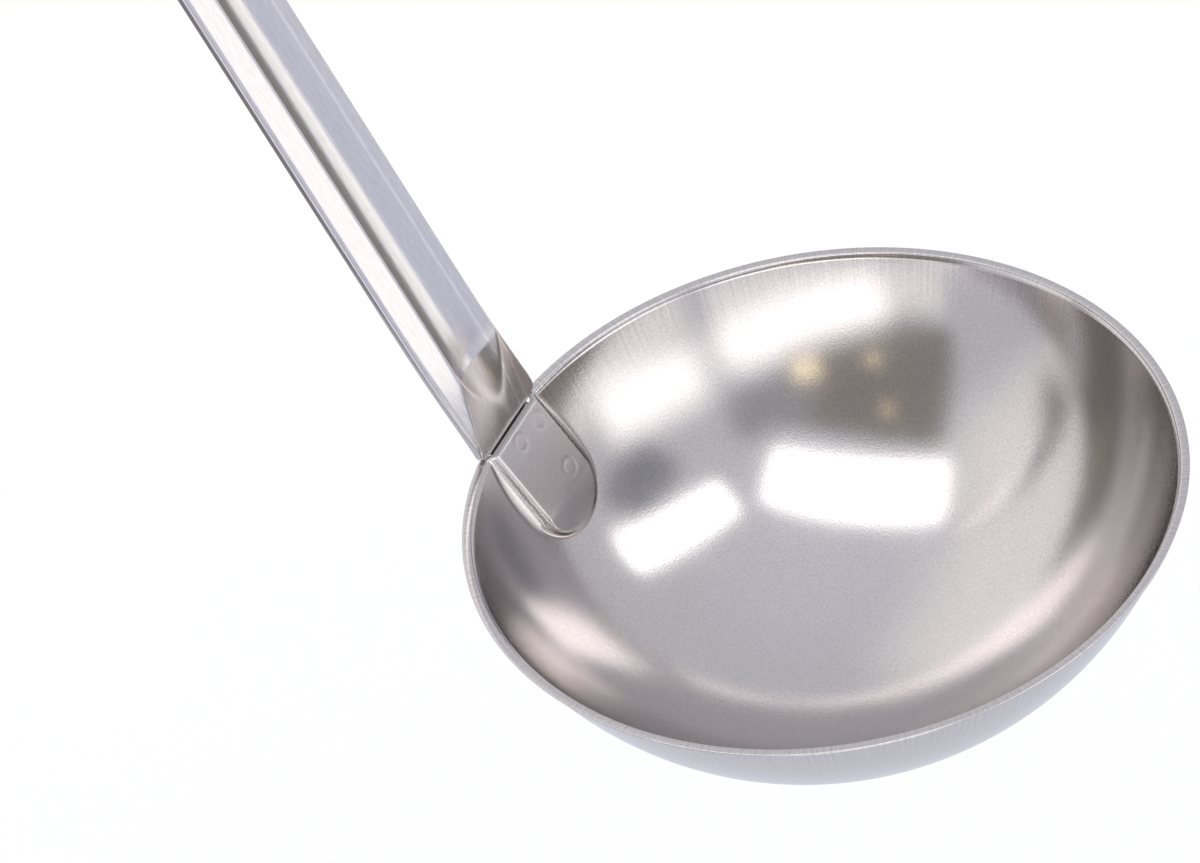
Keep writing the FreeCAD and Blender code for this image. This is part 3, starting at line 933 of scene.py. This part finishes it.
def make_floor_paper():
    """Matt paper, mixed with a glow for camera and glossy rays by a share that grows to one at the edge."""
    paper = bpy.data.materials.new("white_floor")
    paper.use_nodes = True
    tree = paper.node_tree
    tree.nodes.clear()
    place = add_node(tree, "ShaderNodeTexCoord").outputs["Object"]
    away = add_node(tree, "ShaderNodeVectorMath", {0: place, 1: tuple(placed(floor_middle))},
                    operation="DISTANCE").outputs["Value"]
    share = add_node(tree, "ShaderNodeMapRange",
                     {"Value": away, "From Min": FLOOR_FADE * FLOOR_RADIUS * MM,
                      "From Max": FLOOR_RADIUS * MM, "To Min": FLOOR_GLOW, "To Max": 1})
    rays = add_node(tree, "ShaderNodeLightPath").outputs
    seen = worked_out(tree, "MAXIMUM", rays["Is Camera Ray"], rays["Is Glossy Ray"])
    factor = worked_out(tree, "MULTIPLY", seen, share.outputs["Result"])
    white = add_node(tree, "ShaderNodeMix", {"Factor": rays["Is Glossy Ray"], MIX_FIRST: PURE_WHITE,
                                             MIX_SECOND: STEEL_SEES}, data_type="RGBA")
    matt = add_node(tree, "ShaderNodeBsdfDiffuse", {"Color": PAPER_WHITE})
    glow = add_node(tree, "ShaderNodeEmission", {"Color": white.outputs[MIX_RESULT]})
    mixed = add_node(tree, "ShaderNodeMixShader", {0: factor, 1: matt.outputs[0], 2: glow.outputs[0]})
    add_node(tree, "ShaderNodeOutputMaterial", {"Surface": mixed.outputs[0]})
    return paper


floor_mesh.materials.append(make_floor_paper())
print("floor %.0f mm below the bowl" % FLOOR_DROP)

# %% [markdown]
# Polished steel shows the room it stands in, so the studio is built as a room far away: pale walls that
# change with height, and patches in them, bright ones for the soft boxes and dark ones for the gaps between.
# Area lamps would do as well, but their edges are hard in a mirror, and near lamps would slide along the
# handle. A patch is a rectangle on the sky with a soft edge. One node group draws it, and each patch is a
# copy of the group with its own place, size and light.

# %% A patch of the room
def toward(azimuth, elevation):
    """The direction at an azimuth, from -Y round to +X, and an elevation above level, in degrees."""
    around, above = math.radians(azimuth), math.radians(elevation)
    return Vector((math.sin(around) * math.cos(above), -math.cos(around) * math.cos(above), math.sin(above)))


def make_patch_group():
    """Mixes a light into the room inside a rectangle of slopes; half of its soft edge lies outside."""
    group = bpy.data.node_groups.new("room_patch", "ShaderNodeTree")
    for name, kind in (("Room", "Color"), ("Light", "Color"), ("Direction", "Vector"), ("Ahead", "Vector"),
                       ("Right", "Vector"), ("Up", "Vector"), ("Half Width", "Float"),
                       ("Half Height", "Float"), ("Edge", "Float")):
        group.interface.new_socket(name, in_out="INPUT", socket_type="NodeSocket" + kind)
    group.interface.new_socket("Room", in_out="OUTPUT", socket_type="NodeSocketColor")
    given = add_node(group, "NodeGroupInput").outputs

    def dot(axis):
        """How far the direction goes along one of the patch's axes."""
        return add_node(group, "ShaderNodeVectorMath", {0: given["Direction"], 1: given[axis]},
                        operation="DOT_PRODUCT").outputs["Value"]

    ahead = dot("Ahead")
    mask = worked_out(group, "GREATER_THAN", ahead, 0.0)
    for axis, half in (("Right", "Half Width"), ("Up", "Half Height")):
        away = worked_out(group, "ABSOLUTE", worked_out(group, "DIVIDE", dot(axis), ahead))
        part = worked_out(group, "DIVIDE", worked_out(group, "SUBTRACT", away, given[half]), given["Edge"])
        inside = add_node(group, "ShaderNodeMapRange", {"Value": part, "From Min": 0.5, "From Max": -0.5},
                          interpolation_type="SMOOTHSTEP").outputs["Result"]
        mask = worked_out(group, "MULTIPLY", mask, inside)
    mixed = add_node(group, "ShaderNodeMix",
                     {"Factor": mask, MIX_FIRST: given["Room"], MIX_SECOND: given["Light"]}, data_type="RGBA")
    add_node(group, "NodeGroupOutput", {"Room": mixed.outputs[MIX_RESULT]})
    return group


patch_group = make_patch_group()
print("patch group:", [socket.name for socket in patch_group.interface.items_tree])

# %% [markdown]
# The walls are pale and a little blue, darker far below. They could be a big box round the ladle, but the
# world in Blender is simpler: it is endlessly far away, so it looks alike from every part of the ladle. A
# colour ramp over the height of the direction makes the walls.

# %% The walls of the room
ROOM_STOPS = (
    (-0.55, (0.30, 0.30, 0.33)),
    (-0.30, (0.71, 0.755, 0.91)),
    (-0.08, (0.80, 0.84, 1.00)),
    (0.15, (0.70, 0.70, 0.74)),
    (0.70, (0.71, 0.73, 0.79)),
    (1.00, (0.78, 0.81, 0.88)),
)

studio = bpy.data.worlds.new("studio")
studio.use_nodes = True
room_tree = studio.node_tree
room_direction = add_node(room_tree, "ShaderNodeTexCoord").outputs["Generated"]


def plain_room():
    """The walls' colour by the height of the direction, from stops of height and colour."""
    height = add_node(room_tree, "ShaderNodeSeparateXYZ", {0: room_direction}).outputs["Z"]
    part = add_node(room_tree, "ShaderNodeMapRange", {"Value": height, "From Min": -1, "From Max": 1})
    ramp = add_node(room_tree, "ShaderNodeValToRGB", {"Fac": part.outputs["Result"]})
    stops = ramp.color_ramp.elements
    while len(stops) < len(ROOM_STOPS):
        stops.new(0.5)
    for stop, (level, colour) in zip(stops, ROOM_STOPS):
        stop.position = (level + 1) / 2
        stop.color = (*colour, 1)
    return ramp.outputs["Color"]


room = plain_room()
print("wall colours:", len(ROOM_STOPS))

# %% [markdown]
# Patches are hung over the walls one after another, and a later one covers an earlier one: first the wide
# walls and the dark gaps, then the soft boxes, the small warm lamps and the low patches for the handle. The
# reflections in the photograph, followed back out of the bowl, gave first places for the patches. Renders
# compared with the photograph gave the rest.

# %% Hang the patches
WARM = (1.0, 0.88, 0.62)
WHITE = (1.0, 1.0, 1.0)


def hang(room, name, azimuth, elevation, width, height, light, colour=WHITE, roll=0, edge=5):
    """The room with one more patch; width, height and edge are angles in degrees, light is its radiance."""
    ahead = toward(azimuth, elevation)
    level_right = Vector((math.cos(math.radians(azimuth)), math.sin(math.radians(azimuth)), 0))
    level_up = ahead.cross(level_right) * -1
    turn = math.radians(roll)
    patch = add_node(room_tree, "ShaderNodeGroup", node_tree=patch_group, label=name)
    values = {
        "Ahead": ahead,
        "Right": level_right * math.cos(turn) + level_up * math.sin(turn),
        "Up": level_up * math.cos(turn) - level_right * math.sin(turn),
        "Half Width": math.tan(math.radians(width) / 2),
        "Half Height": math.tan(math.radians(height) / 2),
        "Edge": math.radians(edge),
        "Light": (*(light * part for part in colour), 1),
    }
    for socket, value in values.items():
        patch.inputs[socket].default_value = value
    room_tree.links.new(room_direction, patch.inputs["Direction"])
    room_tree.links.new(room, patch.inputs["Room"])
    return patch.outputs["Room"]


room = hang(room, "pale wall at the left", 272, 34, 80, 50, 1.1, edge=38)
room = hang(room, "dark gap in front", 6, 39, 52, 36, 0.30, (1.0, 0.96, 0.91), edge=7)
room = hang(room, "dark gap beside it", 47, 43, 26, 15, 0.42, (0.95, 0.97, 1.05), edge=9)
room = hang(room, "dark gap at the right", 108, 33, 24, 18, 0.33, (0.92, 0.96, 1.1), edge=8)
room = hang(room, "front wall, lit", 20, 11, 70, 16, 1.15, edge=9)
room = hang(room, "right wall, lit", 88, 6, 50, 14, 1.1, edge=9)
room = hang(room, "front box", 29, 20.5, 52, 16, 2.1, roll=-10, edge=14)
room = hang(room, "low right box", 83, 20.5, 36, 17, 2.0, roll=16, edge=15)
room = hang(room, "right strip", 119, 46, 12, 41, 2.8, roll=-46, edge=5)
room = hang(room, "overhead box", -2, 72.5, 54, 19.5, 2.8, roll=-11, edge=6)
room = hang(room, "far lamp, high", -4, 47, 4, 4, 1.0, WARM, edge=3)
room = hang(room, "far lamp, low", 5, 33, 4, 4, 1.4, WARM, edge=3)
room = hang(room, "far lamp, near", 30, 35.5, 8, 7, 1.7, WARM, edge=4)
room = hang(room, "low box for the handle's left wall", 30, -19, 40, 16, 1.7, edge=6)
room = hang(room, "low strip for the handle's dish", 142, -17, 16, 26, 1.35, edge=2)
room = hang(room, "bright edge of that strip", 137, -15, 5, 26, 1.65, edge=3)
room = hang(room, "low dark wall behind", 174, -24, 43, 28, 0.30, (1.0, 0.98, 0.95), edge=3)
print("patches hung:", sum(node.type == "GROUP" for node in room_tree.nodes))

# %% [markdown]
# The camera itself sees plain white where the steel sees the room, so the background is white without more
# light on the ladle. The Standard view leaves the colours as they are mixed here.

# %% The white background
room_rays = add_node(room_tree, "ShaderNodeLightPath").outputs
room_shown = add_node(room_tree, "ShaderNodeMix", {"Factor": room_rays["Is Camera Ray"], MIX_FIRST: room,
                                                   MIX_SECOND: PURE_WHITE}, data_type="RGBA")
room_tree.links.new(room_shown.outputs[MIX_RESULT], room_tree.nodes["Background"].inputs["Color"])
bpy.context.scene.world = studio
bpy.context.scene.view_settings.view_transform = "Standard"
print("world:", bpy.context.scene.world.name)
